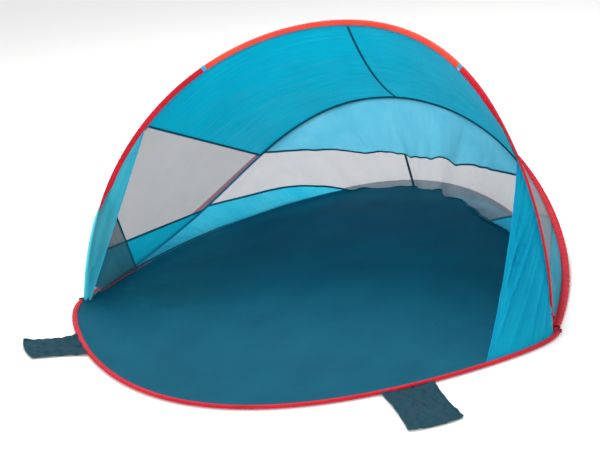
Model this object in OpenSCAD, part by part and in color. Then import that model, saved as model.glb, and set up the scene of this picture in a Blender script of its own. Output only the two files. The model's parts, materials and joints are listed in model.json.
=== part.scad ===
// Pop-up beach shelter: two pairs of sprung wire hoops that meet at two ground
// corners, with a fabric canopy, mesh windows, a ground sheet and two sand flaps.
// Millimetres, +Z up, +X to the right seen from the opening, -Y out of the opening.
// Origin: on the ground, midway between the two corners.

/* [Overall] */
// Half the distance between the two ground corners
corner_half_width = 1000; // [700:10:1400]
// Reach of the front arch from the line through the corners
front_arch_reach = 1285; // [900:5:1600]
// Reach of the back arch from the line through the corners
back_arch_reach = 1450; // [1000:5:1900]
// Reach of the front ground hoop from the line through the corners
front_floor_reach = 812; // [500:5:1100]
// Sideways lean of the front ground hoop at its middle
front_floor_lean = -58; // [-120:2:120]
// Reach of the back ground hoop from the line through the corners
back_floor_reach = 1745; // [1300:5:2200]

/* [Angles above the ground] */
// Elevation of the front arch at its crown
front_arch_angle = 54; // [40:1:75]
// Elevation of the back arch at its crown
back_arch_angle = 23; // [15:1:40]

/* [Hoops] */
// Diameter of the sprung steel wire
wire_diameter = 4; // [3:0.5:6]
// Outer diameter of the fabric sleeve around a wire
sleeve_diameter = 18; // [14:1:30]
// Thickness of the sleeve fabric with its seam allowance
sleeve_wall = 1.5; // [1:0.5:3]
// Clear space between a wire and the eye or ferrule that it is pushed into
wire_clearance = 0.2; // [0.1:0.05:0.5]
// Wall of the ferrule that joins the two ends of a wire
ferrule_wall = 1.2; // [0.8:0.1:2]
// Length of that ferrule
ferrule_length = 40; // [20:1:60]

/* [Corners] */
// Diameter of the pin cord that the hoop eyes turn on
corner_pin_diameter = 6; // [4:0.5:10]
// Running clearance between an eye and the pin cord
eye_clearance = 0.05; // [0.02:0.01:0.1]
// Wall of an eye around the pin cord
eye_wall = 5; // [3:0.5:8]
// Width of an eye along the pin cord
eye_width = 7; // [5:0.5:12]
// Space between two neighbouring eyes
eye_gap = 1; // [0.5:0.5:3]
// Length of the socket that holds the wire on an eye
eye_socket = 22; // [12:1:40]

/* [Fabric] */
// Thickness of the canopy panels with their seams
panel_thickness = 2; // [1:0.5:4]
// Space between neighbouring panels, covered by the seam tape
panel_gap = 2; // [1:0.5:6]
// Space between a sleeve and the panel sewn to it
sleeve_gap = 3; // [1:0.5:6]
// Thickness of the ground sheet
floor_thickness = 2; // [1:0.5:4]
// Width of the fold left open across the ground sheet
floor_fold_gap = 2; // [1:0.5:6]
// Height of the top edge of the back window at its middle
window_top_height = 245; // [150:5:400]
// Height of the bottom edge of the back window at its middle
window_bottom_height = 62; // [40:1:120]

// How far the middle of the roof hangs in between the two arches
roof_sag = 40; // [0:5:100]
// Space between the side wall and the corner panel inside it
inner_layer_gap = 14; // [12:1:30]

/* [Sand flaps] */
// Width of a sand flap along the ground hoop
flap_width = 195; // [100:5:300]
// Length of the right sand flap
right_flap_length = 285; // [100:5:400]
// Length of the left sand flap
left_flap_length = 200; // [100:5:400]
// Diameter of the rolled hem that a flap turns on
flap_hem_diameter = 6; // [4:0.5:10]

/* [Hidden] */

$fn = 48;
sleeve_r = sleeve_diameter / 2;
wire_r = wire_diameter / 2;
axis_height = sleeve_r;
pin_r = corner_pin_diameter / 2;
eye_r = pin_r + eye_clearance + eye_wall;
socket_bore_r = wire_r + wire_clearance;
socket_r = socket_bore_r + ferrule_wall;
eye_pitch = eye_width + eye_gap;
eye_to_wire = eye_r + 1;
panel_edge = sleeve_r + sleeve_gap;

// Where each eye sits along the pin cord, counted outwards from the corner.
back_ground_slot = -1.5 * eye_pitch;
front_arch_slot = -0.5 * eye_pitch;
back_arch_slot = 1.5 * eye_pitch;
front_ground_slot = 2.5 * eye_pitch;
pin_overhang = 3;

// A hoop: reach, side flare, leg fullness, elevation, leg droop, eye slot, sideways lean.
back_ground = [back_floor_reach, -0.11, -0.11, 0, 0, back_ground_slot, 0];
back_arch = [back_arch_reach, 0.03, 0.26, back_arch_angle, 1, back_arch_slot, 0];
front_arch = [front_arch_reach, 0.01, -0.09, front_arch_angle, -0.38, front_arch_slot, 0];
front_ground = [front_floor_reach, 0.06, -0.50, 180, 0, front_ground_slot, front_floor_lean];

// Degrees along a hoop, from 0 at the right corner to 180 at the left one.
sleeve_start = 6;
hoop_segments = 33;
top_sleeve_start = 56;
sleeve_join_gap = 0.4;
crown = 90;
// Where the seams meet the front arch and the back arch.
roof_seam_front = 39;
roof_seam_back = 51;
side_seam_front = 9.5;
side_seam_back = 32;
back_window_low_seam = 33.5;
right_window_top_seam = 45;
left_window_top_seam = 52;
panel_start = 4;
back_wall_start = 10;
window_start = 2;
back_cols = 12;
wing_top = 33;
wing_foot = 35.6;
left_wing_top = 38;
left_wing_start = 8;
left_wing_end = 32;
side_low_start = 7;
leg_lead = 0.23;
corner_panel_start = 7;
corner_panel_front = 22;
corner_panel_back = 13.5;
right_flap_at = 54;
left_flap_at = 180 - 44;
left_flap_skew = -85;
right_flap_skew = -20;
corner_clear = 30;

function elevation(hoop, t) = hoop[3] * (1 - hoop[4] * pow(cos(t), 2));
function hoop_radius(hoop, t) = hoop[0] * sin(t) * (1 + hoop[2] * pow(cos(t), 2));
function hoop_x(hoop, t) =
  (corner_half_width * (1 + hoop[1] * pow(sin(t), 2)) + hoop[5]) * cos(t)
  + hoop[6] * pow(sin(t), 2);
function hoop_point(hoop, t) = let (a = elevation(hoop, t), r = hoop_radius(hoop, t))
  [hoop_x(hoop, t), r * cos(a), axis_height + r * sin(a)];
function hoop_normal(hoop, t) = let (a = elevation(hoop, t)) [0, -sin(a), cos(a)];
function unit(v) = v / norm(v);
function mixed(a, b, s) = a + (b - a) * s;
function degrees_of(length) = length / corner_half_width * 180 / PI;

// A point straight out of an eye, on the right (+1) or left (-1) corner.
function lead(hoop, side, r) = let (a = elevation(hoop, 0))
  [side * (corner_half_width + hoop[5]), r * cos(a), axis_height + r * sin(a)];

// Points and upright directions along a hoop between two positions.
function hoop_path(hoop, from, to, count) =
  [for (i = [0:count]) hoop_point(hoop, mixed(from, to, i / count))];
function hoop_normals(hoop, from, to, count) =
  [for (i = [0:count]) hoop_normal(hoop, mixed(from, to, i / count))];

function ring(path, normals, i, r, sides) =
  let (n = len(path) - 1,
       along = unit(path[min(i + 1, n)] - path[max(i - 1, 0)]),
       across = unit(cross(along, normals[i])),
       up = cross(across, along))
  [for (k = [0:sides - 1]) let (a = 360 * k / sides)
    path[i] + r * (cos(a) * across + sin(a) * up)];

// Two triangles between points of neighbouring rings.
function quad(a, b, c, d) = [[a, b, c], [a, c, d]];
function flat(lists) = [for (l = lists) for (x = l) x];

module rod(path, normals, r, sides) {
  n = len(path) - 1;
  points = flat([for (i = [0:n]) ring(path, normals, i, r, sides)]);
  skin = flat([for (i = [0:n - 1]) for (k = [0:sides - 1])
    let (a = i * sides + k, b = i * sides + (k + 1) % sides)
    quad(a, a + sides, b + sides, b)]);
  first = [for (k = [0:sides - 1]) k];
  last = [for (k = [sides - 1:-1:0]) n * sides + k];
  polyhedron(points, concat(skin, [first, last]), convexity = 10);
}

module tube(path, normals, r, bore, sides) {
  n = len(path) - 1;
  step = 2 * sides;
  points = flat([for (i = [0:n])
    concat(ring(path, normals, i, r, sides), ring(path, normals, i, bore, sides))]);
  outside = flat([for (i = [0:n - 1]) for (k = [0:sides - 1])
    let (a = i * step + k, b = i * step + (k + 1) % sides)
    quad(a, a + step, b + step, b)]);
  inside = flat([for (i = [0:n - 1]) for (k = [0:sides - 1])
    let (a = i * step + sides + k, b = i * step + sides + (k + 1) % sides)
    quad(a, b, b + step, a + step)]);
  first = flat([for (k = [0:sides - 1]) let (j = (k + 1) % sides)
    quad(k, j, sides + j, sides + k)]);
  last = flat([for (k = [0:sides - 1]) let (j = (k + 1) % sides, e = n * step)
    quad(e + k, e + sides + k, e + sides + j, e + j)]);
  polyhedron(points, concat(outside, inside, first, last), convexity = 10);
}

// A fabric panel: a thin closed shell either side of a grid of points.
function grid_normal(grid, i, j) =
  let (n = len(grid) - 1, m = len(grid[0]) - 1,
       du = grid[min(i + 1, n)][j] - grid[max(i - 1, 0)][j],
       dv = grid[i][min(j + 1, m)] - grid[i][max(j - 1, 0)])
  unit(cross(du, dv));
module sheet(grid) {
  n = len(grid) - 1;
  m = len(grid[0]) - 1;
  row = m + 1;
  back = (n + 1) * row;
  half = panel_thickness / 2;
  front_points = [for (i = [0:n]) for (j = [0:m]) grid[i][j] + half * grid_normal(grid, i, j)];
  back_points = [for (i = [0:n]) for (j = [0:m]) grid[i][j] - half * grid_normal(grid, i, j)];
  faces = flat([for (i = [0:n - 1]) for (j = [0:m - 1]) let (a = i * row + j)
    concat(quad(a, a + 1, a + row + 1, a + row),
           quad(back + a, back + a + row, back + a + row + 1, back + a + 1))]);
  ends = flat([for (j = [0:m - 1]) let (e = n * row)
    concat(quad(j, back + j, back + j + 1, j + 1),
           quad(e + j, e + j + 1, back + e + j + 1, back + e + j))]);
  sides = flat([for (i = [0:n - 1]) let (a = i * row, b = i * row + m)
    concat(quad(a, a + row, back + a + row, back + a),
           quad(b, back + b, back + b + row, b + row))]);
  polyhedron(concat(front_points, back_points), concat(faces, ends, sides), convexity = 10);
}

// Points on the straight threads between two hoops, clear of both sleeves.
function hoop_tangent(hoop, t) = unit(hoop_point(hoop, t + 1) - hoop_point(hoop, t - 1));
function edge_gap(hoop, t, way) = panel_edge / norm(cross(hoop_tangent(hoop, t), way));
function thread(p, q, near, far, s) =
  let (d = norm(q - p)) mixed(p, q, mixed(near / d, 1 - far / d, s));
function thread_between(hoop_p, tp, hoop_q, tq, s) =
  let (p = hoop_point(hoop_p, tp), q = hoop_point(hoop_q, tq), way = unit(q - p))
  thread(p, q, edge_gap(hoop_p, tp, way), edge_gap(hoop_q, tq, way), s);
function panel_grid(hoop_p, p0, p1, hoop_q, q0, q1, cols, rows) =
  [for (i = [0:cols]) [for (j = [0:rows])
    thread_between(hoop_p, mixed(p0, p1, i / cols), hoop_q, mixed(q0, q1, i / cols), j / rows)]];
seam = degrees_of(panel_gap / 2);

module right_or_left(side) {
  if (side > 0) children();
  else mirror([1, 0, 0]) children();
}

module hoop_wire(hoop) {
  leads = [eye_to_wire, eye_to_wire + eye_socket];
  path = concat([for (r = leads) lead(hoop, 1, r)],
                hoop_path(hoop, sleeve_start, 180 - sleeve_start, hoop_segments),
                [lead(hoop, -1, leads[1]), lead(hoop, -1, leads[0])]);
  ends = [hoop_normal(hoop, 0), hoop_normal(hoop, 0)];
  normals = concat(ends, hoop_normals(hoop, sleeve_start, 180 - sleeve_start, hoop_segments), ends);
  rod(path, normals, wire_r, 6);
}
module hoop_sleeve(hoop, from, to, segments) {
  tube(hoop_path(hoop, from, to, segments), hoop_normals(hoop, from, to, segments),
       sleeve_r, sleeve_r - sleeve_wall, 8);
}
// An eye on the pin cord with the socket that grips the end of its wire.
module hoop_eye(hoop) {
  translate([corner_half_width + hoop[5], 0, axis_height])
    rotate([elevation(hoop, 0), 0, 0])
      difference() {
        union() {
          rotate([0, 90, 0]) cylinder(r = eye_r, h = eye_width, center = true);
          rotate([-90, 0, 0]) cylinder(r = socket_r, h = eye_to_wire + eye_socket);
        }
        rotate([0, 90, 0])
          cylinder(r = pin_r + eye_clearance, h = 2 * eye_width, center = true);
        translate([0, eye_to_wire - 0.5, 0])
          rotate([-90, 0, 0]) cylinder(r = socket_bore_r, h = 2 * eye_socket);
      }
}
module hoop_eyes(hoop) {
  for (side = [1, -1]) right_or_left(side) hoop_eye(hoop);
}
// The ferrule sits on the straight middle segment of the hoop.
module ferrule(hoop) {
  translate([hoop[6], hoop_point(hoop, crown - (90 - sleeve_start) / hoop_segments)[1], axis_height])
    rotate([0, 90, 0])
      difference() {
        cylinder(r = socket_r, h = ferrule_length, center = true);
        cylinder(r = socket_bore_r, h = 2 * ferrule_length, center = true);
      }
}
module corner_pin(side) {
  right_or_left(side)
    translate([corner_half_width + back_ground_slot - eye_width / 2 - pin_overhang, 0, axis_height])
      rotate([0, 90, 0])
        cylinder(r = pin_r, h = 4 * eye_pitch + eye_width + 2 * pin_overhang);
}

// Half of the ground sheet, from the fold line to just inside its hoop.
module floor_half(hoop, fold_y) {
  count = 36;
  inset = sleeve_r + sleeve_gap;
  way = hoop_point(hoop, crown)[1] > fold_y ? inset : -inset;
  edge = [for (i = [0:count])
    let (t = mixed(sleeve_start, 180 - sleeve_start, i / count),
         p = hoop_point(hoop, t),
         d = unit(hoop_point(hoop, t + 1) - hoop_point(hoop, t - 1)))
    [p[0] - way * d[1], p[1] + way * d[0]]];
  x = corner_half_width - corner_clear;
  linear_extrude(floor_thickness)
    polygon(concat([[x, fold_y]], edge, [[-x, fold_y]]));
}

// Share of the way down the back wall at which a seam crosses position t.
function seam_height(t, meets, middle) =
  mixed(hoop_point(back_arch, meets)[2], middle, (t - meets) / (crown - meets));
function seam_share(t, meets, middle) =
  let (top = hoop_point(back_arch, t)[2])
  t <= meets ? 0 : max(0, (top - seam_height(t, meets, middle)) / (top - axis_height));
function window_top_seam(side) = side > 0 ? right_window_top_seam : left_window_top_seam;
function window_top(t, side) = seam_share(t, window_top_seam(side), window_top_height);
function window_bottom(t) = seam_share(t, back_window_low_seam, window_bottom_height);
function ground_partner(t) = t * (1 + leg_lead * (1 - t / crown));
function wall_point(t, upper, lower, s) =
  let (u = ground_partner(t), p = hoop_point(back_arch, t), q = hoop_point(back_ground, u),
       d = norm(q - p), way = (q - p) / d,
       a = max(upper + panel_gap / 2 / d, edge_gap(back_arch, t, way) / d),
       b = min(lower - panel_gap / 2 / d, 1 - edge_gap(back_ground, u, way) / d))
  mixed(p, q, mixed(a, b, s));
function wall_at(i, start) = mixed(start, crown - seam, i / back_cols);
module back_wall_top(side) {
  right_or_left(side)
    sheet([for (i = [0:back_cols]) let (t = wall_at(i, window_top_seam(side) + window_start))
      [for (j = [0:3]) wall_point(t, 0, window_top(t, side), j / 3)]]);
}
module back_mesh(side) {
  right_or_left(side)
    sheet([for (i = [0:back_cols]) let (t = wall_at(i, back_window_low_seam + window_start))
      [for (j = [0:2]) wall_point(t, window_top(t, side), window_bottom(t), j / 2)]]);
}
module back_wall_low() {
  sheet([for (i = [0:back_cols]) let (t = wall_at(i, back_wall_start))
    [for (j = [0:1]) wall_point(t, window_bottom(t), 1, j)]]);
}

// The roof hangs in between the arches, most at its middle.
roof_cols = 10;
roof_rows = 5;
function hang(grid, i, j) =
  let (n = grid_normal(grid, i, j), s = j / roof_rows, inwards = unit([0, n[1], n[2]]))
  grid[i][j] - sign(n[2]) * inwards * roof_sag * sin(crown * i / roof_cols) * 4 * s * (1 - s);
module roof() {
  taut = panel_grid(front_arch, roof_seam_front + seam, crown - seam,
                    back_arch, roof_seam_back + seam, crown - seam, roof_cols, roof_rows);
  sheet([for (i = [0:roof_cols]) [for (j = [0:roof_rows]) hang(taut, i, j)]]);
}
module side_mesh() {
  sheet(panel_grid(front_arch, side_seam_front + seam, roof_seam_front - seam,
                   back_arch, side_seam_back + seam, roof_seam_back - seam, 8, 4));
}
module side_low() {
  sheet(panel_grid(front_arch, panel_start, side_seam_front - seam,
                   back_arch, side_low_start, side_seam_back - seam, 8, 3));
}
module wing_right_panel() {
  sheet(panel_grid(front_arch, panel_start, wing_top,
                   front_ground, panel_start + 2, wing_foot, 8, 4));
}
// The left wing's free edge runs straight from the front arch to the corner.
function wing_thread(t, s) =
  let (foot = hoop_point(front_arch, 0), head = hoop_point(front_arch, left_wing_top),
       p = hoop_point(front_arch, t), q = mixed(foot, head, t / left_wing_top),
       way = unit(q - p))
  mixed(p + way * edge_gap(front_arch, t, way), q, s);
module wing_left_panel() {
  cols = 8;
  sheet([for (i = [0:cols]) let (t = mixed(left_wing_start, left_wing_end, i / cols))
    [for (j = [0:2]) wing_thread(t, j / 2)]]);
}
// The corner panel is an inner layer between the front arch and the ground.
module corner_panel() {
  cols = 5;
  rows = 3;
  inwards = [-inner_layer_gap, inner_layer_gap + panel_thickness, 0];
  sheet([for (i = [0:cols])
    let (t = mixed(corner_panel_start, corner_panel_front, i / cols),
         u = mixed(corner_panel_start, corner_panel_back, i / cols),
         p = hoop_point(front_arch, t) + inwards, q = hoop_point(back_ground, u),
         way = unit(q - p))
    [for (j = [0:rows]) thread(p, q, panel_thickness, edge_gap(back_ground, u, way), j / rows)]]);
}

// A flap turns on its rolled hem, which lies along the front ground hoop.
function flap_tangent(t) =
  unit(hoop_point(front_ground, t - 1) - hoop_point(front_ground, t + 1));
function flap_hinge(t) =
  let (d = flap_tangent(t), out = sleeve_r + sleeve_gap + flap_hem_diameter / 2)
  hoop_point(front_ground, t) + out * [d[1], -d[0], 0];
module flap(t, length, skew) {
  p = flap_hinge(t);
  d = flap_tangent(t);
  w = flap_width / 2;
  hem_r = flap_hem_diameter / 2;
  translate([p[0], p[1], 0])
    rotate([0, 0, atan2(d[1], d[0])]) {
      translate([-w, 0, hem_r]) rotate([0, 90, 0]) cylinder(r = hem_r, h = flap_width);
      linear_extrude(floor_thickness)
        polygon([[-w, 0], [-w + skew, -length], [w + skew, -length], [w, 0]]);
    }
}

module rear_floor() {
  color("#0c4a58") floor_half(back_ground, -pin_r - floor_fold_gap / 2);
}
module back_ground_wire() { color("#8a8f94") hoop_wire(back_ground); }
module back_ground_sleeve() {
  color("#dd3a42") hoop_sleeve(back_ground, sleeve_start, 180 - sleeve_start, hoop_segments);
}
module back_ground_eyes() { color("#70757a") hoop_eyes(back_ground); }
module back_ferrule() { color("#b5b9bd") ferrule(back_ground); }
module corner_pin_left() { color("#303438") corner_pin(-1); }
module corner_pin_right() { color("#303438") corner_pin(1); }
module back_wall_top_left() { color("#53bdd7") back_wall_top(-1); }
module back_wall_top_right() { color("#53bdd7") back_wall_top(1); }
module back_mesh_left() { color("#c5c8cd") back_mesh(-1); }
module back_mesh_right() { color("#c5c8cd") back_mesh(1); }
module back_wall_low_left() { color("#30b0d0") mirror([1, 0, 0]) back_wall_low(); }
module back_wall_low_right() { color("#30b0d0") back_wall_low(); }
module back_arch_wire() { color("#8a8f94") hoop_wire(back_arch); }
module back_arch_sleeve() {
  color("#e8454a") hoop_sleeve(back_arch, sleeve_start, 180 - sleeve_start, hoop_segments);
}
module back_arch_eyes() { color("#70757a") hoop_eyes(back_arch); }
module front_arch_wire() { color("#8a8f94") hoop_wire(front_arch); }
module front_sleeve_left() {
  color("#d02f40")
    hoop_sleeve(front_arch, 180 - top_sleeve_start + sleeve_join_gap, 180 - sleeve_start, 11);
}
module front_sleeve_top() {
  color("#f4634f") hoop_sleeve(front_arch, top_sleeve_start, 180 - top_sleeve_start, 13);
}
module front_sleeve_right() {
  color("#d02f40") hoop_sleeve(front_arch, sleeve_start, top_sleeve_start - sleeve_join_gap, 11);
}
module front_arch_eyes() { color("#70757a") hoop_eyes(front_arch); }
module roof_left() { color("#1fa9cd") mirror([1, 0, 0]) roof(); }
module roof_right() { color("#1fa9cd") roof(); }
module side_mesh_left() { color("#a8adb1") mirror([1, 0, 0]) side_mesh(); }
module side_mesh_right() { color("#a8adb1") side_mesh(); }
module side_low_left() { color("#049fbe") mirror([1, 0, 0]) side_low(); }
module side_low_right() { color("#049fbe") side_low(); }
module wing_left() {
  color("#2eaed5") mirror([1, 0, 0]) wing_left_panel();
}
module wing_right() { color("#0aa8cb") wing_right_panel(); }
module corner_panel_left() { color("#40626e") mirror([1, 0, 0]) corner_panel(); }
module corner_panel_right() { color("#40626e") corner_panel(); }
module front_floor() {
  color("#226377") floor_half(front_ground, -pin_r - 3 * floor_fold_gap / 2);
}
module front_ground_wire() { color("#8a8f94") hoop_wire(front_ground); }
module front_ground_sleeve() {
  color("#d8333f") hoop_sleeve(front_ground, sleeve_start, 180 - sleeve_start, hoop_segments);
}
module front_ground_eyes() { color("#70757a") hoop_eyes(front_ground); }
module front_ferrule() { color("#b5b9bd") ferrule(front_ground); }
module sand_flap_left() { color("#2c4351") flap(left_flap_at, left_flap_length, left_flap_skew); }
module sand_flap_right() { color("#264c55") flap(right_flap_at, right_flap_length, right_flap_skew); }

rear_floor();
back_ground_wire();
back_ground_sleeve();
back_ground_eyes();
back_ferrule();
corner_pin_left();
corner_pin_right();
back_wall_top_left();
back_wall_top_right();
back_mesh_left();
back_mesh_right();
back_wall_low_left();
back_wall_low_right();
back_arch_wire();
back_arch_sleeve();
back_arch_eyes();
front_arch_wire();
front_sleeve_left();
front_sleeve_top();
front_sleeve_right();
front_arch_eyes();
roof_left();
roof_right();
side_mesh_left();
side_mesh_right();
side_low_left();
side_low_right();
wing_left();
wing_right();
corner_panel_left();
corner_panel_right();
front_floor();
front_ground_wire();
front_ground_sleeve();
front_ground_eyes();
front_ferrule();
sand_flap_left();
sand_flap_right();
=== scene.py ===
"""Looks for the pop-up beach shelter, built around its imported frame. Metres, +Z up, -Y out of the opening."""
import json
import math

import bmesh
import bpy
import numpy as np
from mathutils import Matrix, Vector


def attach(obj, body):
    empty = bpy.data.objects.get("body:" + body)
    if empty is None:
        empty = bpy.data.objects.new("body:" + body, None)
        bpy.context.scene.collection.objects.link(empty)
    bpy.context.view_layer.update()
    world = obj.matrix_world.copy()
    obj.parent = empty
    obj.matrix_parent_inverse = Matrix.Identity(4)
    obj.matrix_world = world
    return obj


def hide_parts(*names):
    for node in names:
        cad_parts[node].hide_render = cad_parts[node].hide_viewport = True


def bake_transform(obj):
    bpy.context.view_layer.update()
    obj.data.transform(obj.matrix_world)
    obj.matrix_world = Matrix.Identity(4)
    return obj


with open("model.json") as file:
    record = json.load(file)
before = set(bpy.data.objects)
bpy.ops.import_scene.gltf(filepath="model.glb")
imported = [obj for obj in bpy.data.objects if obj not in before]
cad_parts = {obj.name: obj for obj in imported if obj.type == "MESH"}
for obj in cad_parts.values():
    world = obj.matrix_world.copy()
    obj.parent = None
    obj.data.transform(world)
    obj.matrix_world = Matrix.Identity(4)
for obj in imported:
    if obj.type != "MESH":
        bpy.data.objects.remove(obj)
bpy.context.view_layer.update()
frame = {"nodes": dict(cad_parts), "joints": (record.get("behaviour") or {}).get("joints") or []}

# ---------------------------------------------------------------- layout, as in the CAD source
# Lengths are in metres. Places along a hoop are in degrees from the right corner.
HALF_WIDTH = 1.0
AXIS_HEIGHT = frame["joints"][0]["pos_m"][2]
SLEEVE_R = 0.009
CROWN = 90.0
# Reach, side flare, leg fullness, elevation, leg droop, eye's place on the pin, sideways lean.
HOOPS = {
    "back_ground": (1.745, -0.11, -0.11, 0.0, 0.0, -0.012, 0.0),
    "back_arch": (1.450, 0.03, 0.26, 23.0, 1.0, 0.012, 0.0),
    "front_arch": (1.285, 0.01, -0.09, 54.0, -0.38, -0.004, 0.0),
    "front_ground": (0.812, 0.06, -0.50, 180.0, 0.0, 0.020, -0.058),
}
# Seams of the canopy: their places on the front arch and on the back arch.
ROOF_SEAM = (39.0, 51.0)
SIDE_SEAM = (9.5, 32.0)
ROOF_CROWN = (89.0, 88.0)
PANEL_START = 3.0
ROOF_SAG = 0.042
# Seams of the back wall: where they meet the back arch, and their height in the middle.
WINDOW_TOP = {1: 45.0, -1: 52.0}
WINDOW_TOP_HEIGHT = 0.245
WINDOW_BOTTOM = 33.5
WINDOW_BOTTOM_HEIGHT = 0.062
WALL_START = 5.0
LEG_LEAD = 0.23
# The top length of the front arch's sleeve starts here, after a short join. That length's lighter, yellower
# colour is painted light: the red sleeve cloth lit from above.
TOP_SLEEVE_START = 56.0
SLEEVE_JOIN = 0.8
SLEEVE_END = 1.2
# Wings and corner panels: the end of each edge.
WING_TOP = 33.0
WING_FOOT = 35.6
LEFT_WING_TOP = 38.0
CORNER_PANEL = (22.0, 13.5)
# Heights and places of the ground sheet's edges.
FLOOR_FOLD_Y = -0.005
FLOOR_RIM_INSET = 0.006
FLOOR_RIM_HEIGHT = {"back_ground": 0.0145, "front_ground": 0.0115}
# Widths of the seam tapes.
SEAM_TAPE = 0.011
ROOF_SEAM_TAPE = 0.013
WALL_SEAM_TAPE = 0.010
WING_HEM = 0.008


def unit(v):
    return v / np.maximum(np.linalg.norm(v, axis=-1, keepdims=True), 1e-9)


def mixed(a, b, s):
    return a + (b - a) * s


def smooth(x):
    x = np.clip(x, 0, 1)
    return x * x * (3 - 2 * x)


def hoop(name, t):
    """Points on a hoop's centre line, t degrees from the right corner."""
    reach, flare, fullness, angle, droop, slot, lean = HOOPS[name]
    t = np.radians(np.asarray(t, float))
    c, s = np.cos(t), np.sin(t)
    a = np.radians(angle * (1 - droop * c * c))
    r = reach * s * (1 + fullness * c * c)
    x = (HALF_WIDTH * (1 + flare * s * s) + slot) * c + lean * s * s
    return np.stack([x, r * np.cos(a), AXIS_HEIGHT + r * np.sin(a)], -1)


def low_legs(t):
    """How far a place on the front arch is into its right leg, and into its left leg, 0 to 1."""
    return smooth((52 - t) / 18), smooth((t - 152) / 12)


def hoop_tangent(name, t):
    return unit(hoop(name, np.asarray(t) + 0.5) - hoop(name, np.asarray(t) - 0.5))


def hoop_sides(name, t):
    """At each point of a hoop: the way in to its seam, and the way square to that and to the wire."""
    t = np.asarray(t, float)
    _, _, _, angle, droop, _, _ = HOOPS[name]
    a = np.radians(angle * (1 - droop * np.cos(np.radians(t)) ** 2))
    along = hoop_tangent(name, t)
    square = np.stack([0 * a, -np.sin(a), np.cos(a)], -1)
    inward = unit(np.cross(square, along))
    middle = np.array([0, -0.2 if angle > 90 else 0.35, AXIS_HEIGHT])
    inward *= np.sign(np.sum(inward * (middle - hoop(name, t)), -1, keepdims=True))
    if name == "front_arch":
        backward = hoop("back_arch", t) - hoop(name, t)
        backward = unit(backward - along * np.sum(backward * along, -1, keepdims=True))
        right, left = low_legs(t)
        inward = unit(mixed(inward, backward, (0.85 * right + 0.95 * left)[..., None]))
    square = np.cross(along, inward)
    return inward, square


def seam_width(name, t):
    """How far the seam of a sleeve is from its wire: it tapers off towards the corners."""
    leg = np.minimum(t, 180 - np.asarray(t, float))
    width = {"back_arch": mixed(0.023, 0.012, smooth((leg - 30) / 30)), "front_arch": 0.017}
    return width.get(name, 0.013) * smooth((leg + 6) / 12)


def seam_line(name, t):
    """Where the cloth is sewn to the sleeve of a hoop."""
    inward, _ = hoop_sides(name, t)
    return hoop(name, t) + inward * seam_width(name, t)[..., None]


def ripple(u, v, seed, short, long, angle=0.0, spread=180.0, count=14):
    """A smooth random field over u and v in metres, about -1 to 1."""
    rng = np.random.default_rng(seed)
    total = np.zeros(np.broadcast(u, v).shape)
    for _ in range(count):
        length = rng.uniform(short, long)
        way = math.radians(angle + rng.uniform(-spread, spread) / 2)
        k = 2 * math.pi / length
        total += np.sin(k * (u * math.cos(way) + v * math.sin(way)) + rng.uniform(0, 6.3))
    return total / math.sqrt(count)


# ---------------------------------------------------------------- meshes
def normals_of(P):
    du = np.gradient(P, axis=0)
    dv = np.gradient(P, axis=1)
    return unit(np.cross(du, dv))


def new_mesh(name, points, faces, uvs=None):
    mesh = bpy.data.meshes.new(name)
    mesh.from_pydata([tuple(p) for p in points], [], faces)
    mesh.polygons.foreach_set("use_smooth", [True] * len(mesh.polygons))
    if uvs is not None:
        layer = mesh.uv_layers.new(name="cloth")
        loops = np.empty(len(mesh.loops), int)
        mesh.loops.foreach_get("vertex_index", loops)
        layer.data.foreach_set("uv", np.asarray(uvs, float)[loops].ravel())
    mesh.validate()
    obj = bpy.data.objects.new(name, mesh)
    bpy.context.scene.collection.objects.link(obj)
    return obj


def cloth_lengths(P):
    """Lengths along both ways of a grid, for the weave."""
    u = np.concatenate([[0], np.cumsum(np.linalg.norm(np.diff(P, axis=0), axis=2).mean(1))])
    v = np.concatenate([[0], np.cumsum(np.linalg.norm(np.diff(P, axis=1), axis=2).mean(0))])
    return np.stack(np.meshgrid(u, v, indexing="ij"), -1)


def grid_faces(n, m, wrap=False):
    rows = m if wrap else m - 1
    return [
        (i * m + j, (i + 1) * m + j, (i + 1) * m + (j + 1) % m, i * m + (j + 1) % m)
        for i in range(n - 1)
        for j in range(rows)
    ]


def grid_piece(name, P, material, wrap=False):
    n, m = P.shape[:2]
    uvs = cloth_lengths(P).reshape(-1, 2)
    obj = new_mesh(name, P.reshape(-1, 3), grid_faces(n, m, wrap), uvs)
    obj.data.materials.append(material)
    return obj


def ribbon(name, path, normal, width, thickness, material):
    """A flat tape along a path, closed all round."""
    along = unit(np.gradient(path, axis=0))
    side = unit(np.cross(along, normal))
    up = np.cross(side, along)
    w, h = width / 2, thickness / 2
    corners = [(-w, -h), (w, -h), (w, h), (-w, h)]
    P = np.stack([path + side * a + up * b for a, b in corners], 1)
    obj = grid_piece(name, P, material, wrap=True)
    n = len(path)
    caps = [(3, 2, 1, 0), tuple(4 * (n - 1) + k for k in range(4))]
    bm = bmesh.new()
    bm.from_mesh(obj.data)
    bm.verts.ensure_lookup_table()
    for cap in caps:
        bm.faces.new([bm.verts[k] for k in cap])
    bm.to_mesh(obj.data)
    bm.free()
    obj.data.polygons.foreach_set("use_smooth", [False] * len(obj.data.polygons))
    return obj


def blend_cloth(obj, weights):
    """Cloth sewn to two hoops. It finds its least and most weighted points, but only bakes its transform: it is
    not tied to either hoop's body.
    """
    points = [v.co.copy() for v in obj.data.vertices]
    w = np.asarray(weights, float).ravel()
    start, end = points[int(w.argmin())], points[int(w.argmax())]
    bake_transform(obj)


# ---------------------------------------------------------------- materials
def linear(*rgb):
    return [((c / 255 + 0.055) / 1.055) ** 2.4 if c > 10 else c / 255 / 12.92 for c in rgb] + [1]


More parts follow.
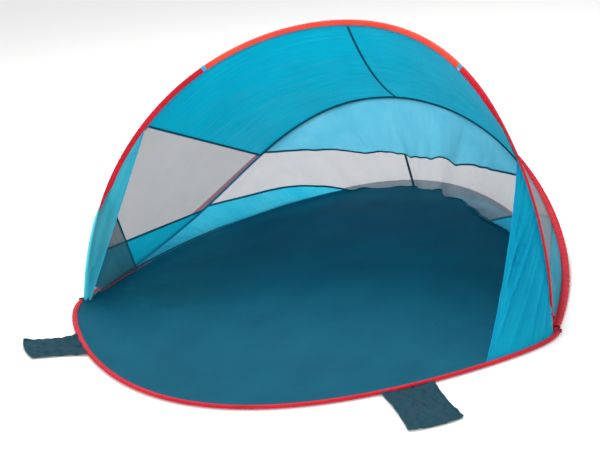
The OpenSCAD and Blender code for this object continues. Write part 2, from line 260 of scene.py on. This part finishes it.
class Nodes:
    """A material's node tree, built a node at a time."""

    def __init__(self, name):
        self.material = bpy.data.materials.new(name)
        self.material.use_nodes = True
        self.tree = self.material.node_tree
        self.tree.nodes.clear()
        self.out = self.add("ShaderNodeOutputMaterial")

    def add(self, kind, **values):
        node = self.tree.nodes.new(kind)
        for key, value in values.items():
            if hasattr(node, key):
                setattr(node, key, value)
            else:
                node.inputs[key.replace("_", " ")].default_value = value
        return node

    def link(self, a, b):
        self.tree.links.new(a, b)

    def uv(self, scale, turn=0.0):
        where = self.add("ShaderNodeUVMap", uv_map="cloth")
        place = self.add("ShaderNodeMapping")
        place.inputs["Scale"].default_value = scale
        place.inputs["Rotation"].default_value = (0, 0, turn)
        self.link(where.outputs["UV"], place.inputs["Vector"])
        return place.outputs["Vector"]

    def noise(self, vector, scale, detail=3.0, distortion=0.0):
        node = self.add("ShaderNodeTexNoise", Scale=scale, Detail=detail, Distortion=distortion)
        self.link(vector, node.inputs["Vector"])
        return node.outputs["Fac"]

    def ramp(self, fac, stops):
        node = self.add("ShaderNodeValToRGB")
        for element, (place, colour) in zip(node.color_ramp.elements, stops):
            element.position, element.color = place, colour
        self.link(fac, node.inputs["Fac"])
        return node.outputs["Color"]

    def bump(self, height, strength, distance, after=None):
        node = self.add("ShaderNodeBump", Strength=strength, Distance=distance)
        self.link(height, node.inputs["Height"])
        if after is not None:
            self.link(after, node.inputs["Normal"])
        return node.outputs["Normal"]

    def weave(self, pitch, turn=0.0):
        """Crossed threads: the sum of two fine waves."""
        vector = self.uv((1 / pitch, 1 / pitch, 1), turn)
        waves = []
        for way in ("X", "Y"):
            wave = self.add("ShaderNodeTexWave", bands_direction=way, Scale=0.31, Distortion=0.4)
            self.link(vector, wave.inputs["Vector"])
            waves.append(wave.outputs["Fac"])
        total = self.add("ShaderNodeMath", operation="ADD")
        for k, wave in enumerate(waves):
            self.link(wave, total.inputs[k])
        return total.outputs[0]


def cloth_material(name, dark, light, through=0.3, creases=0.5, roughness=0.55, sheen=0.05,
                   coat=0.0, gloss=0.2, stretch=(9, 34), turn=0.0, clear=0.0, pitch=0.0016):
    """Woven cloth: colour variation, weave, fine creases, and light that shines through."""
    n = Nodes(name)
    patch = n.noise(n.uv((1, 1, 1)), 5.0, 4.0)
    colour = n.ramp(patch, [(0.3, dark), (0.7, light)])
    long_creases = n.noise(n.uv((stretch[0], stretch[1], 1), turn), 1.0, 5.0, 0.6)
    short_creases = n.noise(n.uv((60, 60, 1), turn), 1.0, 4.0, 1.2)
    normal = n.bump(n.weave(pitch), 0.25, 0.0002)
    normal = n.bump(short_creases, 0.25 * creases, 0.003, normal)
    normal = n.bump(long_creases, creases, 0.012, normal)
    face = n.add("ShaderNodeBsdfPrincipled", Roughness=roughness)
    face.inputs["Sheen Weight"].default_value = sheen
    face.inputs["Sheen Roughness"].default_value = 0.4
    face.inputs["Specular IOR Level"].default_value = gloss
    face.inputs["Coat Weight"].default_value = coat
    face.inputs["Coat Roughness"].default_value = 0.35
    n.link(colour, face.inputs["Base Color"])
    n.link(normal, face.inputs["Normal"])
    shader = face.outputs[0]
    if through:
        glow = n.add("ShaderNodeBsdfTranslucent")
        n.link(colour, glow.inputs["Color"])
        n.link(normal, glow.inputs["Normal"])
        mix = n.add("ShaderNodeMixShader")
        mix.inputs[0].default_value = through
        n.link(shader, mix.inputs[1])
        n.link(glow.outputs[0], mix.inputs[2])
        shader = mix.outputs[0]
    if clear:
        gap = n.add("ShaderNodeBsdfTransparent")
        mix = n.add("ShaderNodeMixShader")
        mix.inputs[0].default_value = clear
        n.link(shader, mix.inputs[1])
        n.link(gap.outputs[0], mix.inputs[2])
        shader = mix.outputs[0]
    n.link(shader, n.out.inputs["Surface"])
    return n.material


def steel_material(name, tone, roughness):
    """Drawn spring steel with fine marks along it."""
    n = Nodes(name)
    where = n.add("ShaderNodeTexCoord")
    marks = n.noise(where.outputs["Object"], 220.0, 6.0)
    colour = n.ramp(marks, [(0.35, [tone * 0.75] * 3 + [1]), (0.7, [tone] * 3 + [1])])
    face = n.add("ShaderNodeBsdfPrincipled", Metallic=1.0, Roughness=roughness)
    n.link(colour, face.inputs["Base Color"])
    n.link(n.bump(marks, 0.2, 0.0005), face.inputs["Normal"])
    n.link(face.outputs[0], n.out.inputs["Surface"])
    return n.material


MATERIALS = {
    "roof": cloth_material("roof_cloth", linear(0, 158, 190), linear(0, 168, 200), 0.42, 1.0,
                           roughness=0.36, stretch=(3, 36), gloss=0.5),
    "side": cloth_material("side_cloth", linear(4, 158, 188), linear(16, 170, 200), 0.44, 0.4),
    "wing": cloth_material("wing_cloth", linear(0, 190, 228), linear(10, 204, 238), 0.62, 1.0,
                           stretch=(30, 5)),
    "left_wing": cloth_material("left_wing_cloth", linear(70, 222, 246), linear(110, 234, 250), 0.75,
                                0.5, stretch=(12, 40)),
    # Painted light: a lighter copy of the blue canopy cloth, for the back wall's top band where sunlight shines
    # through it.
    "back": cloth_material("back_band_sunlit_cloth", linear(82, 176, 206), linear(106, 192, 218), 0.56, 0.6,
                           stretch=(26, 8)),
    "back_low": cloth_material("back_low_cloth", linear(34, 184, 216), linear(74, 200, 228), 0.55,
                               0.7, stretch=(40, 12)),
    "net": cloth_material("net_cloth", linear(122, 125, 131), linear(132, 135, 141), 0.35, 0.12,
                          clear=0.20, pitch=0.0025),
    "back_net": cloth_material("back_net_cloth", linear(146, 148, 154), linear(160, 162, 168),
                               0.45, 0.45, clear=0.24, stretch=(22, 7), pitch=0.0025),
    "corner": cloth_material("corner_cloth", linear(74, 108, 118), linear(96, 126, 134), 0.45, 0.5,
                             clear=0.25, stretch=(20, 8)),
    "floor": cloth_material("floor_cloth", linear(0, 76, 98), linear(2, 84, 106), 0.0, 0.10,
                            roughness=0.7, sheen=0.0, gloss=0.08, stretch=(5, 5), pitch=0.002),
    "flap": cloth_material("flap_cloth", linear(10, 54, 68), linear(18, 62, 76), 0.0, 0.35,
                           roughness=0.65, sheen=0.0, gloss=0.12, stretch=(10, 10)),
    "red": cloth_material("red_sleeve_cloth", linear(184, 8, 34), linear(212, 18, 42), 0.05, 0.7,
                          stretch=(70, 20)),
    # Painted shade: a darker copy of the red sleeve cloth, for the crumpled corner where the sleeves cross in
    # shadow.
    "shaded_red": cloth_material("corner_wrap_shaded_red_cloth", linear(120, 22, 38), linear(160, 34, 50), 0.0,
                               0.7, sheen=0.0, stretch=(70, 50)),
    # Painted light: a lighter, yellower copy of the red sleeve cloth, for the top of the front arch lit from
    # above.
    "sunlit_red": cloth_material("red_sleeve_sunlit_cloth", linear(236, 66, 52), linear(246, 86, 66), 0.10,
                             0.5, stretch=(70, 20)),
    "tape": cloth_material("tape_cloth", linear(10, 84, 106), linear(18, 98, 120), 0.0, 0.3,
                           sheen=0.0, stretch=(60, 60), pitch=0.001),
    "blue_tape": cloth_material("blue_tape_cloth", linear(0, 128, 166), linear(6, 142, 180), 0.2,
                                0.3, stretch=(60, 60), pitch=0.001),
}
WIRE = steel_material("spring_steel", 0.55, 0.35)
CRIMP = steel_material("crimped_steel", 0.48, 0.5)


# ---------------------------------------------------------------- camera, light and floor
def make_camera():
    """At the photograph's angle: to the right of the opening, a little above, and tilted."""
    azimuth, elevation, distance, roll = 21.823, 19.166, 5.072, -5.161
    target = Vector((0.051, -0.084, 0.425))
    a, e = math.radians(azimuth), math.radians(elevation)
    back = Vector((math.sin(a) * math.cos(e), -math.cos(a) * math.cos(e), math.sin(e)))
    data = bpy.data.cameras.new("camera")
    data.lens, data.sensor_width = 1313.6 / 600 * 36, 36
    camera = bpy.data.objects.new("camera", data)
    camera.location = target + back * distance
    turn = (-back).to_track_quat("-Z", "Y")
    camera.rotation_mode = "QUATERNION"
    camera.rotation_quaternion = turn @ Matrix.Rotation(math.radians(roll), 3, "Z").to_quaternion()
    data.clip_start, data.clip_end = 0.05, 100
    bpy.context.scene.collection.objects.link(camera)
    bpy.context.scene.camera = camera


def area_light(name, place, target, size, power, colour=(1, 1, 1)):
    data = bpy.data.lights.new(name, "AREA")
    data.shape, data.size, data.energy, data.color = "DISK", size, power, colour
    light = bpy.data.objects.new(name, data)
    light.location = place
    light.rotation_euler = (Vector(target) - Vector(place)).to_track_quat("-Z", "Y").to_euler()
    bpy.context.scene.collection.objects.link(light)


def make_studio():
    scene = bpy.context.scene
    scene.view_settings.view_transform = "Standard"
    world = bpy.data.worlds.new("studio")
    world.use_nodes = True
    world.node_tree.nodes["Background"].inputs["Color"].default_value = (1, 1, 1, 1)
    world.node_tree.nodes["Background"].inputs["Strength"].default_value = 0.85
    scene.world = world
    area_light("key", (-0.9, 2.6, 4.6), (0, 0.6, 0.3), 2.6, 215, (1, 0.99, 0.97))
    area_light("fill", (1.2, -5.0, 2.6), (0, 0.4, 0.4), 3.0, 115, (0.96, 0.98, 1))
    n = Nodes("paper_floor")
    where = n.add("ShaderNodeTexCoord")
    fibre = n.noise(where.outputs["Object"], 300.0, 4.0)
    face = n.add("ShaderNodeBsdfPrincipled", Roughness=0.9)
    n.link(n.ramp(fibre, [(0.3, [0.9, 0.9, 0.9, 1]), (0.7, [0.94, 0.94, 0.94, 1])]),
           face.inputs["Base Color"])
    n.link(face.outputs[0], n.out.inputs["Surface"])
    size = 30
    ground = new_mesh("ground", [(-size, -size, 0), (size, -size, 0), (size, size, 0),
                                 (-size, size, 0)], [(0, 1, 2, 3)])
    ground.location.z = -0.0005
    ground.data.materials.append(n.material)


# ---------------------------------------------------------------- sleeves and seam tapes
def sleeve(name, hoop_name, start, end, material, body, node, seed, radius=0.0085):
    """A strip folded over a wire, gathered along its length, with both edges in the seam.

    The back arch's cloth is loose on its legs, so it is gathered more there.
    """
    length = HALF_WIDTH * math.radians(abs(end - start)) * 1.3
    count = int(length / 0.006)
    t = np.linspace(start, end, count)
    path = hoop(hoop_name, t)
    inward, square = hoop_sides(hoop_name, t)
    reach = seam_width(hoop_name, t)[:, None]
    leg = np.minimum(t, 180 - t)[:, None]
    if hoop_name == "front_arch":
        radius = radius * mixed(1.0, 0.72, sum(low_legs(t)))[:, None]
    gathered = 1 + 2.2 * smooth((40 - leg) / 40) * (hoop_name == "back_arch")
    k = np.linspace(0, 2 * np.pi, 19)[None]
    arc = np.linspace(0, length, count)[:, None]
    gather = 0.035 * ripple(arc, 0 * k, seed, 0.014, 0.04, 0, 10)
    gather = 1 + gathered * (gather + 0.025 * ripple(arc, 0.02 * k, seed + 7, 0.010, 0.03, 0, 60))
    c, s = np.cos(k), np.sin(k)
    across = np.where(c > 0, reach * c, radius * c * gather)
    half = 0.8 * radius * s * gather * (1 - 0.6 * np.clip(c, 0, 1) ** 1.5)
    half = half + 0.0004 * np.cos(k / 2) ** 5
    P = path[:, None] + across[..., None] * inward[:, None] + half[..., None] * square[:, None]
    P[..., 2] = np.maximum(P[..., 2], 0.0004)
    obj = grid_piece(name, P, MATERIALS[material])
    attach(obj, body)
    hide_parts(node)
    return obj


def tape(name, path, normal, body, weights=None, width=SEAM_TAPE, thickness=0.0016,
         material="tape"):
    """A sewn tape. With weights it goes to blend_cloth, which only bakes its transform; else it rides on one
    body.
    """
    obj = ribbon(name, path, normal, width, thickness, MATERIALS[material])
    if weights is None:
        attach(obj, body)
    else:
        blend_cloth(obj, np.repeat(weights, 4))
    return obj


# ---------------------------------------------------------------- canopy
def on_side(t, side):
    """The same place along a hoop, on the right (1) or left (-1) side."""
    return t if side > 0 else 180 - t


def threads(near, t_near, far, t_far, s):
    """Points along the straight threads between two hoops' seams; s runs from 0 to 1."""
    p, q = seam_line(near, t_near), seam_line(far, t_far)
    share = np.broadcast_to(s[None], (len(p), len(s)))
    return mixed(p[:, None], q[:, None], share[..., None]), share


def hang_in(P, depth):
    """Moves a grid of cloth towards the inside of the shelter."""
    n = normals_of(P)
    inside = np.array([0, 0.45, 0.15]) - P
    n *= np.sign(np.sum(n * inside, -1, keepdims=True))
    return P + n * depth[..., None]


def canopy_panel(name, node, t_front, t_back, material, side, cols, rows, sag, wrinkle, seed):
    """A piece of the canopy between the front arch and the back arch."""
    u = np.linspace(0, 1, cols)
    s = np.linspace(0, 1, rows)
    P, share = threads("front_arch", on_side(mixed(t_front[0], t_front[1], u), side),
                       "back_arch", on_side(mixed(t_back[0], t_back[1], u), side), s)
    lengths = cloth_lengths(P)
    edges = np.sin(np.pi * s)[None] ** 0.6
    depth = sag * np.sin(u * np.pi / 2)[:, None] * 4 * (s * (1 - s))[None]
    fold = ripple(lengths[..., 0], lengths[..., 1], seed, 0.035, 0.10, 90, 40)
    fold += 1.2 * ripple(lengths[..., 0], lengths[..., 1], seed + 1, 0.15, 0.5)
    seam_hold = np.clip(np.minimum(u, 1 - u) * 12, 0, 1)[:, None]
    depth = depth + wrinkle * fold * edges * seam_hold
    P = hang_in(P, depth)
    obj = grid_piece(name, P, MATERIALS[material])
    blend_cloth(obj, 1 - share)
    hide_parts(node)
    return P, share


def seam_tape(name, P, share, row, bodies):
    """A tape over the edge of a panel, seen from both sides."""
    normal = normals_of(P)[row]
    return tape(name, P[row], normal, bodies, share[row])


def make_canopy():
    """Roof, side net and lower side panel on each side, with the tapes over their seams."""
    for side, word in ((1, "right"), (-1, "left")):
        crown_front, crown_back = (on_side(t, side) for t in ROOF_CROWN)
        P, share = canopy_panel(
            f"roof_cloth_{word}", f"roof_{word}", (ROOF_SEAM[0], crown_front),
            (ROOF_SEAM[1], crown_back), "roof", side, 110, 80, ROOF_SAG, 0.0014,
            11 + side)
        seam_tape(f"roof_seam_{word}", P, 1 - share, 0, ("back_arch", "front_arch"))
        if side > 0:
            seam_tape("roof_crown_seam", P, 1 - share, -1, ("back_arch", "front_arch"))
        P, share = canopy_panel(
            f"side_net_{word}", f"side_mesh_{word}", (SIDE_SEAM[0], ROOF_SEAM[0]),
            (SIDE_SEAM[1], ROOF_SEAM[1]), "net", side, 60, 50, 0.0, 0.0012, 21)
        seam_tape(f"side_seam_{word}", P, 1 - share, 0, ("back_arch", "front_arch"))
        canopy_panel(
            f"side_cloth_{word}", f"side_low_{word}", (PANEL_START, SIDE_SEAM[0]),
            (PANEL_START + 1, SIDE_SEAM[1]), "side", side, 40, 30, 0.0, 0.0025, 31)
    for name, start, end, width, material in (
        ("back_arch_seam", ROOF_SEAM[1], 180 - ROOF_SEAM[1], ROOF_SEAM_TAPE, "tape"),
        ("back_arch_edge_right", PANEL_START, ROOF_SEAM[1], SEAM_TAPE, "blue_tape"),
        ("back_arch_edge_left", 180 - ROOF_SEAM[1], 180 - PANEL_START, SEAM_TAPE, "blue_tape"),
    ):
        t = np.linspace(start, end, 160)
        inward, _ = hoop_sides("back_arch", t)
        tape(name, seam_line("back_arch", t) + 0.004 * inward, inward, "back_arch", width=width,
             material=material)
    t = np.linspace(WING_TOP, 180 - LEFT_WING_TOP, 220)
    inward, square = hoop_sides("front_arch", t)
    # The flange uses the back band's lighter blue cloth, whose brightness is painted light.
    tape("roof_flange", seam_line("front_arch", t) + 0.002 * inward - 0.003 * square, square,
         "front_arch", width=0.007, material="back")


# ---------------------------------------------------------------- back wall
def seam_share(t, meets, middle):
    """How far down the back wall a seam runs: 0 where it meets the arch, 1 at the ground."""
    top = hoop("back_arch", t)[..., 2]
    start = float(hoop("back_arch", meets)[2])
    height = mixed(start, middle, (t - meets) / (CROWN - meets))
    share = (top - height) / np.maximum(top - AXIS_HEIGHT, 1e-6)
    return np.where(t <= meets, 0, np.maximum(share, 0))


# How far in from the back ground hoop the foot of the wall lies on the ground, by place.
FOOT_PLACES = (8, 20, 32, 42, 55, 75, 95, 112, 122, 130)
FOOT_LIES_IN = (0, 0.03, 0.07, 0.11, 0.11, 0.095, 0.075, 0.05, 0.02, 0)
# Deeper upright folds in the slack wall: place along the arch, depth, width in degrees.
WALL_FOLDS = ((88, 0.012, 1.4), (79, 0.012, 1.3), (68, 0.013, 1.5), (60, 0.008, 1.2),
              (104, 0.007, 1.4), (117, 0.010, 1.5), (125, 0.007, 1.2))


def wall_points(t, upper, lower, s, side, seed):
    """Cloth between the back arch and the back ground hoop, slack, with upright folds."""
    u = t * (1 + LEG_LEAD * (1 - t / CROWN))
    place = on_side(t, side)
    p, q = seam_line("back_arch", place), seam_line("back_ground", on_side(u, side))
    q = q + np.array([0, 0, 0.004])
    share = mixed(upper[:, None], lower[:, None], s[None])
    P = mixed(p[:, None], q[:, None], share[..., None])
    along = place[:, None] * 0.02
    held = np.sin(np.pi * share) ** 0.8
    slack = 0.007 * ripple(along, 0.25 * share, seed, 0.16, 0.40, 0, 40, 9)
    slack += 0.0010 * ripple(along, 0.4 * share, seed + 1, 0.05, 0.10, 0, 40, 9)
    for fold_at, depth, wide in WALL_FOLDS:
        across = (place[:, None] - fold_at + 3.0 * (share - 0.4)) / wide
        slack += depth * np.exp(-across ** 2) * np.clip(share * 1.8, 0, 1)
    size = np.clip((t - 12) / 40, 0.05, 1)[:, None]
    P = hang_in(P, held * size * (slack + 0.014))
    lies_in = np.interp(place, FOOT_PLACES, FOOT_LIES_IN)
    lies_in = lies_in * (1 + 0.12 * ripple(place * 0.02, 0 * place, seed + 2, 0.15, 0.4, 0, 1))
    foot_in, _ = hoop_sides("back_ground", on_side(u, side))
    foot = q + foot_in * lies_in[:, None]
    foot_share = np.clip(seam_share(t, WINDOW_BOTTOM, WINDOW_BOTTOM_HEIGHT), 0.5, 0.97)
    taut = mixed(p, q, foot_share[:, None])
    drop = (foot - taut) * smooth(lies_in / 0.05)[:, None]
    up = (share / foot_share[:, None]).clip(0, 1)
    down = ((share - foot_share[:, None]) / (1 - foot_share[:, None])).clip(0, 1)
    P = P + drop[:, None] * (up ** 2.2 * (1 - down))[..., None]
    return P, share


def make_back_wall():
    """Top band, window and low strip, each in two halves that meet at the crown."""
    for side, word in ((1, "right"), (-1, "left")):
        top_seam = (WINDOW_TOP[side], WINDOW_TOP_HEIGHT)
        low_seam = (WINDOW_BOTTOM, WINDOW_BOTTOM_HEIGHT)
        # The top band takes the lighter blue cloth, whose extra brightness is painted light from sun shining
        # through.
        bands = (
            ("top", "back_wall_top", "back", "blue_canopy", top_seam[0], None, top_seam, 16),
            ("net", "back_mesh", "back_net", "grey_mesh", low_seam[0], top_seam, low_seam, 26),
            ("low", "back_wall_low", "back_low", "blue_canopy", WALL_START, low_seam, None, 14),
        )
        for band, node, material, slot, start, above, below, rows in bands:
            t = np.linspace(start + 0.3, CROWN, 120)
            upper = seam_share(t, *above) if above else 0 * t
            lower = seam_share(t, *below) if below else 0 * t + 1
            lower = np.maximum(lower, upper + 0.003)
            P, share = wall_points(t, upper, lower, np.linspace(0, 1, rows), side, 41)
            obj = grid_piece(f"back_{band}_cloth_{word}", P, MATERIALS[material])
            blend_cloth(obj, 1 - share)
            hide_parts(f"{node}_{word}")
            if below:
                tape(f"back_{band}_seam_{word}", P[:, -1], normals_of(P)[:, -1],
                     ("ground_back", "back_arch"), 1 - share[:, -1], width=WALL_SEAM_TAPE)
            if band == "net" and side > 0:
                tape("back_crown_seam", P[-1], normals_of(P)[-1], ("ground_back", "back_arch"),
                     1 - share[-1], width=ROOF_SEAM_TAPE)


# ---------------------------------------------------------------- wings and corner panels
def make_wings():
    """The wide right wing, and the narrow left one that wraps round the sleeve's foot."""
    cols, rows = 70, 44
    s = np.linspace(0, 1, rows)
    u = np.linspace(0, 1, cols)
    P, share = threads("front_arch", mixed(PANEL_START, WING_TOP, u), "front_ground",
                       mixed(PANEL_START, WING_FOOT, u), s)
    lengths = cloth_lengths(P)
    pull = np.sin(np.pi * s)[None] ** 0.7
    fan = lengths[..., 0] * (1.6 - 0.8 * s[None])
    fold = ripple(fan, 0.10 * lengths[..., 1], 51, 0.03, 0.10, 0, 16)
    fold += 0.35 * ripple(fan, 0.14 * lengths[..., 1], 53, 0.012, 0.03, 0, 16)
    hem = 1 - 0.8 * smooth((u - 0.86) / 0.12)[:, None]
    P = hang_in(P, pull * (0.010 * hem * fold * (0.35 + 0.65 * u[:, None]) + 0.012 * u[:, None]))
    bow = 0.022 * pull[0][:, None] * np.array([1, 0, 0])
    P += smooth((u - 0.8) / 0.2)[:, None, None] * bow[None]
    obj = grid_piece("wing_cloth_right", P, MATERIALS["wing"])
    blend_cloth(obj, share)
    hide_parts("wing_right")
    tape("wing_hem_right", P[-1], normals_of(P)[-1], ("front_arch", "ground_front"), share[-1],
         width=WING_HEM, material="wing")

    t = np.linspace(0.2, LEFT_WING_TOP, cols)
    place = on_side(t, -1)
    p = seam_line("front_arch", place)
    outside = hoop("front_arch", place) + np.array([-0.009, -0.014, 0])
    p = mixed(p, outside, smooth((place - 149) / 15)[:, None])
    foot, head = p[0] + np.array([0.028, 0.004, 0]), seam_line("front_arch", place[-1])
    q = mixed(foot, head, ((t - t[0]) / (t[-1] - t[0]))[:, None])
    s = np.linspace(0, 1, 16)
    P = mixed(p[:, None], q[:, None], s[None, :, None])
    lengths = cloth_lengths(P)
    fold = ripple(lengths[..., 1] * 1.3, 0.2 * lengths[..., 0], 57, 0.03, 0.08, 0, 20)
    P = hang_in(P, 0.004 * fold * np.sin(np.pi * s)[None])
    obj = grid_piece("wing_cloth_left", P, MATERIALS["left_wing"])
    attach(obj, "front_arch")
    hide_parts("wing_left")
    tape("wing_hem_left", P[:, -1], normals_of(P)[:, -1], "front_arch", width=0.007,
         material="left_wing")


def make_corner_panels():
    """Dark sheer cloth inside each corner, from the front arch's leg to the ground."""
    for side, word in ((1, "right"), (-1, "left")):
        u = np.linspace(0, 1, 30)
        s = np.linspace(0, 1, 24)
        p = seam_line("front_arch", on_side(mixed(0.3, CORNER_PANEL[0], u), side))
        p = p - side * np.array([0.006, 0, 0])
        q = seam_line("back_ground", on_side(mixed(0.3, CORNER_PANEL[1], u), side))
        q = q + np.array([0, 0, 0.004])
        share = np.broadcast_to(s[None], (30, 24))
        P = mixed(p[:, None], q[:, None], share[..., None])
        lengths = cloth_lengths(P)
        fold = ripple(lengths[..., 0], lengths[..., 1] * 0.3, 61 + side, 0.03, 0.09, 0, 40)
        P = hang_in(P, 0.003 * (fold + 1) * np.sin(np.pi * s)[None])
        obj = grid_piece(f"corner_cloth_{word}", P, MATERIALS["corner"])
        blend_cloth(obj, 1 - share)
        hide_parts(f"corner_panel_{word}")
        tape(f"corner_seam_{word}", P[-1], normals_of(P)[-1], ("back_arch", "front_arch"),
             1 - share[-1], width=0.009)


# ---------------------------------------------------------------- ground sheet and flaps
def floor_grid(hoop_name, rows):
    """Half of the ground sheet: nearly flat on the sand, and raised to its hoop at the rim."""
    t = np.linspace(2.0, 178.0, 150)
    rim = hoop(hoop_name, t)
    inward = unit(np.array([0, 0.3, 0])[None] - rim)
    rim = rim + inward * np.array([1, 1, 0]) * FLOOR_RIM_INSET
    s = np.linspace(0, 1, rows)
    x = np.repeat(rim[:, :1], rows, 1)
    y = mixed(FLOOR_FOLD_Y, rim[:, 1:2], s[None])
    depth = np.abs(rim[:, 1:2])
    edge = smooth((np.abs(y) - 0.86 * depth) / (0.14 * depth + 1e-6))
    z = 0.0022 + 0.0022 * (1 + ripple(x, y, 71, 0.12, 0.5)) + 0.0008 * ripple(x, y, 73, 0.03, 0.08)
    z = np.maximum(z, 0.0012)
    z = mixed(z, FLOOR_RIM_HEIGHT[hoop_name], edge)
    return np.stack([x, y, z], -1)


def make_floor():
    """Both halves of the ground sheet, and the binding inside the back edge's sleeve."""
    for name, hoop_name, node, body in (
        ("floor_cloth_rear", "back_ground", "rear_floor", "ground_back"),
        ("floor_cloth_front", "front_ground", "front_floor", "ground_front"),
    ):
        P = floor_grid(hoop_name, 90)
        obj = grid_piece(name, P, MATERIALS["floor"])
        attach(obj, body)
        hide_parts(node)
    t = np.linspace(1.0, 179.0, 240)
    inward = unit(np.array([0, 0.3, 0])[None] - hoop("back_ground", t)) * np.array([1, 1, 0])
    path = hoop("back_ground", t) + 0.0108 * inward
    path[:, 2] = 0.0108
    tape("floor_binding", path, inward, "ground_back", width=0.0195, material="floor")


def make_flaps():
    """The two sand flaps: hemmed cloth, wrinkled and a little curled, sewn to the front edge."""
    # Name, place on the front edge, length, sideways skew and curl at the root.
    plan = (("left", 136.0, 0.200, -0.085, 0.016), ("right", 54.0, 0.285, -0.020, 0.010))
    width = 0.195
    for word, at, length, skew, curl in plan:
        tangent = unit(hoop("front_ground", at - 1) - hoop("front_ground", at + 1))
        outward = np.array([tangent[1], -tangent[0], 0])
        root = hoop("front_ground", at) * np.array([1, 1, 0]) + outward * (SLEEVE_R + 0.001)
        a, b = np.linspace(-1, 1, 50), np.linspace(0, 1, 60)
        A, B = np.meshgrid(a, b, indexing="ij")
        pinch = 1 - 0.07 * np.sin(np.pi * B)
        across = A * pinch * width / 2 + skew * B
        down = length * B + 0.012 * (1 - A * A) * B - 0.006
        z = 0.004 + 0.004 * np.abs(ripple(across, down, 81 + int(at), 0.05, 0.16))
        z += 0.0012 * ripple(across, down, 83, 0.02, 0.05)
        z += 0.4 * curl * np.exp(-B * 9) * (0.5 + 0.5 * A * A)
        z = np.maximum(z, 0.0012)
        P = root + across[..., None] * tangent + down[..., None] * outward
        P[..., 2] = z
        obj = grid_piece(f"flap_cloth_{word}", P, MATERIALS["flap"])
        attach(obj, f"sand_flap_{word}")
        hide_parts(f"sand_flap_{word}")
        lift = np.array([0, 0, 0.0006])
        for part, row in (("end", P[:, -1]), ("inner", P[0]), ("outer", P[-1])):
            hem = tape(f"flap_hem_{word}_{part}", row + lift, np.tile([0, 0, 1.0], (len(row), 1)),
                       f"sand_flap_{word}", width=0.008, thickness=0.0012)
            hem.data.materials[0] = MATERIALS["flap"]


# ---------------------------------------------------------------- hoops, eyes and corners
def make_sleeves():
    """The four hoops' sleeves. The front arch's is in three lengths with blue joins."""
    end, join = SLEEVE_END, SLEEVE_JOIN
    sleeve("back_ground_cover", "back_ground", end, 180 - end, "red", "ground_back",
           "back_ground_sleeve", 3)
    sleeve("back_arch_cover", "back_arch", end, 180 - end, "red", "back_arch",
           "back_arch_sleeve", 5)
    sleeve("front_ground_cover", "front_ground", end, 180 - end, "red", "ground_front",
           "front_ground_sleeve", 7)
    sleeve("front_cover_right", "front_arch", end, TOP_SLEEVE_START - join, "red",
           "front_arch", "front_sleeve_right", 9)
    sleeve("front_cover_left", "front_arch", 180 - TOP_SLEEVE_START + join, 180 - end, "red",
           "front_arch", "front_sleeve_left", 13)
    # The top length's colour is painted light: the red sleeve cloth, lighter and yellower where lit from above.
    sleeve("front_cover_top", "front_arch", TOP_SLEEVE_START, 180 - TOP_SLEEVE_START, "sunlit_red",
           "front_arch", "front_sleeve_top", 15)
    for side, word in ((1, "right"), (-1, "left")):
        place = on_side(TOP_SLEEVE_START - 0.5 * join + np.linspace(-0.45, 0.45, 7), side)
        inward, square = hoop_sides("front_arch", place)
        obj = ribbon(f"sleeve_join_{word}", hoop("front_arch", place) + inward * 0.003, square,
                     0.021, 0.012, MATERIALS["left_wing"])
        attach(obj, "front_arch")


def make_corner_wraps():
    """Crumpled cloth sewn round the corner pins, where the sleeves of the hoops meet."""
    for side, word in ((1, "right"), (-1, "left")):
        along = np.linspace(0, 1, 40)
        k = np.linspace(0, 2 * np.pi, 33)
        x = side * mixed(0.974, 1.034, along)
        round_it = np.sin(np.pi * np.clip(along, 0.04, 0.96)) ** 0.35
        A, K = np.meshgrid(along * 0.064, k, indexing="ij")
        crumple = 1 + 0.13 * ripple(A, 0.012 * np.sin(K) + 0 * A, 91 + side, 0.010, 0.028)
        crumple += 0.10 * ripple(A + 0.01 * np.cos(K), 0.02 * np.cos(K), 95 + side, 0.008, 0.02)
        r = (0.0125 if side > 0 else 0.0095) * round_it[:, None] * crumple
        P = np.stack([np.repeat(x[:, None], 33, 1), r * np.cos(K),
                      AXIS_HEIGHT + 0.003 + 1.1 * r * np.sin(K)], -1)
        P[:, -1] = P[:, 0]
        P[..., 2] = np.maximum(P[..., 2], 0.0006)
        # The right wrap's darker red is painted shade; the left wrap takes the flap cloth.
        obj = grid_piece(f"corner_wrap_{word}", P, MATERIALS["shaded_red" if side > 0 else "flap"])
        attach(obj, "ground_back")


def finish_metal():
    """Materials of the CAD nodes that stay showing."""
    for name, obj in frame["nodes"].items():
        if "wire" in name:
            obj.data.materials.clear()
            obj.data.materials.append(WIRE)
        elif "eyes" in name or "ferrule" in name:
            obj.data.materials.clear()
            obj.data.materials.append(CRIMP)
        elif "pin" in name:
            obj.data.materials.clear()
            obj.data.materials.append(MATERIALS["tape"])


make_camera()
make_studio()
make_canopy()
make_back_wall()
make_wings()
make_corner_panels()
make_floor()
make_flaps()
make_sleeves()
make_corner_wraps()
finish_metal()
